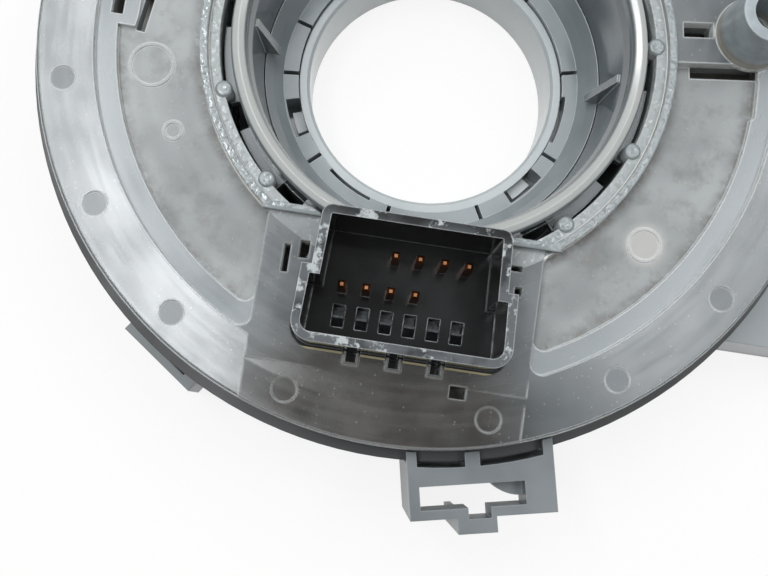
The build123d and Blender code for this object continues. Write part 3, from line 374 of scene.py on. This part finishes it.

# ---------------------------------------------------------------- Wheel connector
# Socket moulded in black glossy nylon. The top of its rim is painted pale grey with brighter flecks, a
# painted sheen with painted glints, weaker near the far side, and a thin tan line of old sealing grease runs
# round its foot.
socket = moulded_plastic("Nylon PA66, moulded, black gloss", "#0c0d0e", "#151617", "#85898b",
                         0.12, 0.6, 0.004, 0.22)
tree = socket["tree"]
axes = add_node(tree, "ShaderNodeSeparateXYZ", None, None, {"Vector": socket["place"]})
place = socket["place"]
far_side, rim_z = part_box("wheel_connector")[1][1:]
rim = zone(tree, (axes.outputs["Z"], "GREATER_THAN", rim_z - 0.00015))
rim_sheen_reach = add_node(tree, "ShaderNodeMapRange", soft,
                {"From Min": far_side, "From Max": far_side - 0.0020, "To Min": 0.25},
                {"Value": axes.outputs["Y"]})
body = lay(tree, socket["body"].outputs[2],
           ("#64676a", rim, rim_sheen_reach.outputs["Result"], blotches(tree, place, 5, 0.36, 0.56, 0.3)),
           ("#bcc0c1", rim, blotches(tree, place, 2.6, 0.55, 0.61, detail=6.0, harshness=0.7)))
tree.links.new(body, socket["with_highlights"].inputs[6])

# The rim's edges get a whiter painted highlight, and the slots' edges painted glints in short lengths
edge_highlight = socket["edge_highlight"].outputs["Result"]
slot_top_z = 0.0222
slot_row_y = -0.0325
near_wall_y = -0.04008
slots = zone(tree, (axes.outputs["Z"], "LESS_THAN", slot_top_z), (axes.outputs["Y"], "LESS_THAN", slot_row_y))
foot = zone(tree, (axes.outputs["Z"], *between(0.0245, 0.0259)),
            (axes.outputs["Y"], "LESS_THAN", near_wall_y))
with_highlights = lay(tree, socket["with_highlights"].outputs[2], ("#e3e5e5", rim, edge_highlight),
           ("#d4dadc", edge_highlight, slots, blotches(tree, place, 1.4, 0.42, 0.56, detail=2.0)), ("#b5ab8b", foot))
tree.links.new(with_highlights, socket["shader"].inputs["Base Color"])
paint("wheel_connector", socket["material"])

# ---------------------------------------------------------------- Wheel pins
# Square pins stamped from copper alloy, drawn slightly dull by the air, pressed through the socket's floor.
pin_metal, tree, shader = start_material("Phosphor bronze, stamped and tarnished")
place = add_node(tree, "ShaderNodeTexCoord").outputs["Object"]
stain_mm = 0.8
tarnish = add_node(tree, "ShaderNodeTexNoise", None, {"Scale": 1000 / stain_mm, "Detail": 4.0},
                   {"Vector": place})
shade = add_node(tree, "ShaderNodeMix", {"data_type": "RGBA"},
                 {6: from_hex("#a87350"), 7: from_hex("#5f4231")},
                 {0: tarnish.outputs["Fac"]})
tree.links.new(shade.outputs[2], shader.inputs["Base Color"])
drawn = add_node(tree, "ShaderNodeMapRange", None, {"To Min": 0.28, "To Max": 0.5},
                 {"Value": tarnish.outputs["Fac"]})
tree.links.new(drawn.outputs["Result"], shader.inputs["Roughness"])
scratch = add_node(tree, "ShaderNodeBump", None, {"Distance": 0.00001}, {"Height": tarnish.outputs["Fac"]})
tree.links.new(scratch.outputs["Normal"], shader.inputs["Normal"])
shader.inputs["Metallic"].default_value = 1.0
for number in range(1, 9):
    paint(f"wheel_pin_{number}", pin_metal)

# ---------------------------------------------------------------- Shorting clips
# Thin spring steel strips that short the airbag contacts while the plug is out. They lie deep in their
# slots and are painted dark, a painted shade of the slots, and only their bowed tops glint.
clip_metal, tree, shader = start_material("Spring steel, rolled, painted dark")
place = add_node(tree, "ShaderNodeTexCoord").outputs["Object"]
clip_mottle_mm = 0.5
rolled = add_node(tree, "ShaderNodeTexNoise", None, {"Scale": 1000 / clip_mottle_mm, "Detail": 3.0},
                  {"Vector": place})
shade = add_node(tree, "ShaderNodeMix", {"data_type": "RGBA"},
                 {6: from_hex("#2a2b2d"), 7: from_hex("#56585a")},
                 {0: rolled.outputs["Fac"]})
tree.links.new(shade.outputs[2], shader.inputs["Base Color"])
shine = add_node(tree, "ShaderNodeMapRange", None, {"To Min": 0.22, "To Max": 0.42},
                 {"Value": rolled.outputs["Fac"]})
tree.links.new(shine.outputs["Result"], shader.inputs["Roughness"])
shader.inputs["Metallic"].default_value = 1.0
for number in range(1, 4):
    paint(f"shorting_clip_{number}", clip_metal)

# ---------------------------------------------------------------- Case ring
# Round wall of the cable chamber, moulded in near-black polyester with a fine spark-eroded skin, and held
# to the floor by three hooks in the latch loops.
# The near black is painted darker still, a painted shade for where the case lies under the plate's edge
case = moulded_plastic("Polyester PBT, moulded, near black", "#1f2021", "#2b2c2d", "#6d6f70",
                       0.42, 0.3, 0.003, 0.22)
paint("case_ring", case["material"])

# ---------------------------------------------------------------- Base housing
# Floor, latch loops and slotted tower in one moulding of mid grey polyester with a satin skin.
housing = moulded_plastic("Polyester PBT, moulded, mid grey", "#6b7073", "#7d8285", "#b0b5b6",
                          0.36, 0.3, 0.003, 0.22)
paint("base_housing", housing["material"])

# ---------------------------------------------------------------- Column connector
# Socket of the column's harness, a separate moulding of the same family in paler grey.
column = moulded_plastic("Polyester PBT, moulded, pale grey", "#868c8f", "#979da0", "#c2c6c7",
                         0.34, 0.3, 0.003, 0.22)
paint("column_connector", column["material"])

# ---------------------------------------------------------------- Column pins
# Narrower pins of the same stamped copper alloy as the wheel's, but tinned against corrosion.
tinned, tree, shader = start_material("Phosphor bronze, tinned")
place = add_node(tree, "ShaderNodeTexCoord").outputs["Object"]
crystal_mm = 0.7
tin = add_node(tree, "ShaderNodeTexNoise", None, {"Scale": 1000 / crystal_mm, "Detail": 4.0},
               {"Vector": place})
shade = add_node(tree, "ShaderNodeMix", {"data_type": "RGBA"},
                 {6: from_hex("#c9cac6"), 7: from_hex("#a5a6a2")},
                 {0: tin.outputs["Fac"]})
tree.links.new(shade.outputs[2], shader.inputs["Base Color"])
shine = add_node(tree, "ShaderNodeMapRange", None, {"To Min": 0.3, "To Max": 0.46},
                 {"Value": tin.outputs["Fac"]})
tree.links.new(shine.outputs["Result"], shader.inputs["Roughness"])
shader.inputs["Metallic"].default_value = 1.0
for number in range(1, 9):
    paint(f"column_pin_{number}", tinned)

# ---------------------------------------------------------------- Flat cable and its lead blocks
# Copper strips laminated between two polyester films, wound loosely in the chamber, welded at each end
# into a small block of natural nylon. Slip sheets of the same film above and below let the turns slide.
film = moulded_plastic("Polyester film over copper, laminated", "#b87a48", "#c98d58", "#d7a87c",
                       0.16, 0.8, 0.001, 0.05)
paint("flat_cable", film["material"])
blocks = moulded_plastic("Nylon PA66, natural, moulded", "#cfcabc", "#ddd9cd", "#eae7de",
                         0.42, 0.3, 0.002, 0.15)
paint("inner_lead_block", blocks["material"])
paint("outer_lead_block", blocks["material"])
sheets = moulded_plastic("Polyester film, milky", "#c7c6bd", "#d2d1c9", "#dedcd5", 0.25, 0.8, 0.001, 0.05)
paint("lower_slip_sheet", sheets["material"])
paint("upper_slip_sheet", sheets["material"])

# ---------------------------------------------------------------- Studio
# A sheet of white paper under the part, and three soft panels a metre up: a bright strip to the left, whose
# reflection runs along the sloping outer band, a weaker one to the right and a pale one behind.
paper_size = 40.0
paper_z = -0.0002
bpy.ops.mesh.primitive_plane_add(size=paper_size, location=(0, 0, paper_z))
floor = bpy.context.object
floor.name = "paper_floor"
paper, tree, shader = start_material("Paper, white, uncoated")
place = add_node(tree, "ShaderNodeTexCoord").outputs["Object"]
fibre_mm = 1.5
fibre = add_node(tree, "ShaderNodeTexNoise", None, {"Scale": 1000 / fibre_mm, "Detail": 4.0},
                 {"Vector": place})
shade = add_node(tree, "ShaderNodeMix", {"data_type": "RGBA"},
                 {6: from_hex("#f1f0ec"), 7: from_hex("#f7f6f3")},
                 {0: fibre.outputs["Fac"]})
tree.links.new(shade.outputs[2], shader.inputs["Base Color"])
shader.inputs["Roughness"].default_value = 0.9
shader.inputs["Specular IOR Level"].default_value = 0.0

# The paper is lit evenly: most of what is seen of it, directly or in a gloss, is a glow of its own
glow_share = 0.85
path = add_node(tree, "ShaderNodeLightPath")
seen = add_node(tree, "ShaderNodeMath", {"operation": "MAXIMUM"}, None,
                {0: path.outputs["Is Camera Ray"], 1: path.outputs["Is Glossy Ray"]})
seen = add_node(tree, "ShaderNodeMath", {"operation": "MAXIMUM"}, None,
                {0: seen.outputs[0], 1: path.outputs["Is Transmission Ray"]})
share = add_node(tree, "ShaderNodeMath", {"operation": "MULTIPLY"}, {1: glow_share}, {0: seen.outputs[0]})
glow = add_node(tree, "ShaderNodeEmission", None, {"Color": (1, 1, 1, 1), "Strength": 1.0})
mixed = add_node(tree, "ShaderNodeMixShader", None, None,
                {0: share.outputs[0], 1: shader.outputs["BSDF"], 2: glow.outputs["Emission"]})
output = next(node for node in tree.nodes if node.type == "OUTPUT_MATERIAL")
tree.links.new(mixed.outputs["Shader"], output.inputs["Surface"])
floor.data.materials.append(paper)

for name, place, turn, width, length, watts in (
        ("strip_lamp", (-0.41, 0.11, 1.0), 27, 0.20, 0.80, 6.4),
        ("side_panel", (0.49, 0.18, 1.0), -28, 0.28, 0.62, 3.0),
        ("top_panel", (-0.02, 0.56, 1.0), 0, 0.60, 0.70, 4.0)):
    bpy.ops.object.light_add(type="AREA", location=place, rotation=(0, 0, math.radians(turn)))
    lamp = bpy.context.object
    lamp.name = name
    lamp.data.shape = "RECTANGLE"
    lamp.data.size = width
    lamp.data.size_y = length
    lamp.data.energy = watts
    lamp.data.color = (0.95, 0.985, 1.0)

world = bpy.data.worlds.new("studio")
bpy.context.scene.world = world
world.use_nodes = True
background = world.node_tree.nodes["Background"]
background.inputs["Color"].default_value = (1, 1, 1, 1)
background.inputs["Strength"].default_value = 0.24
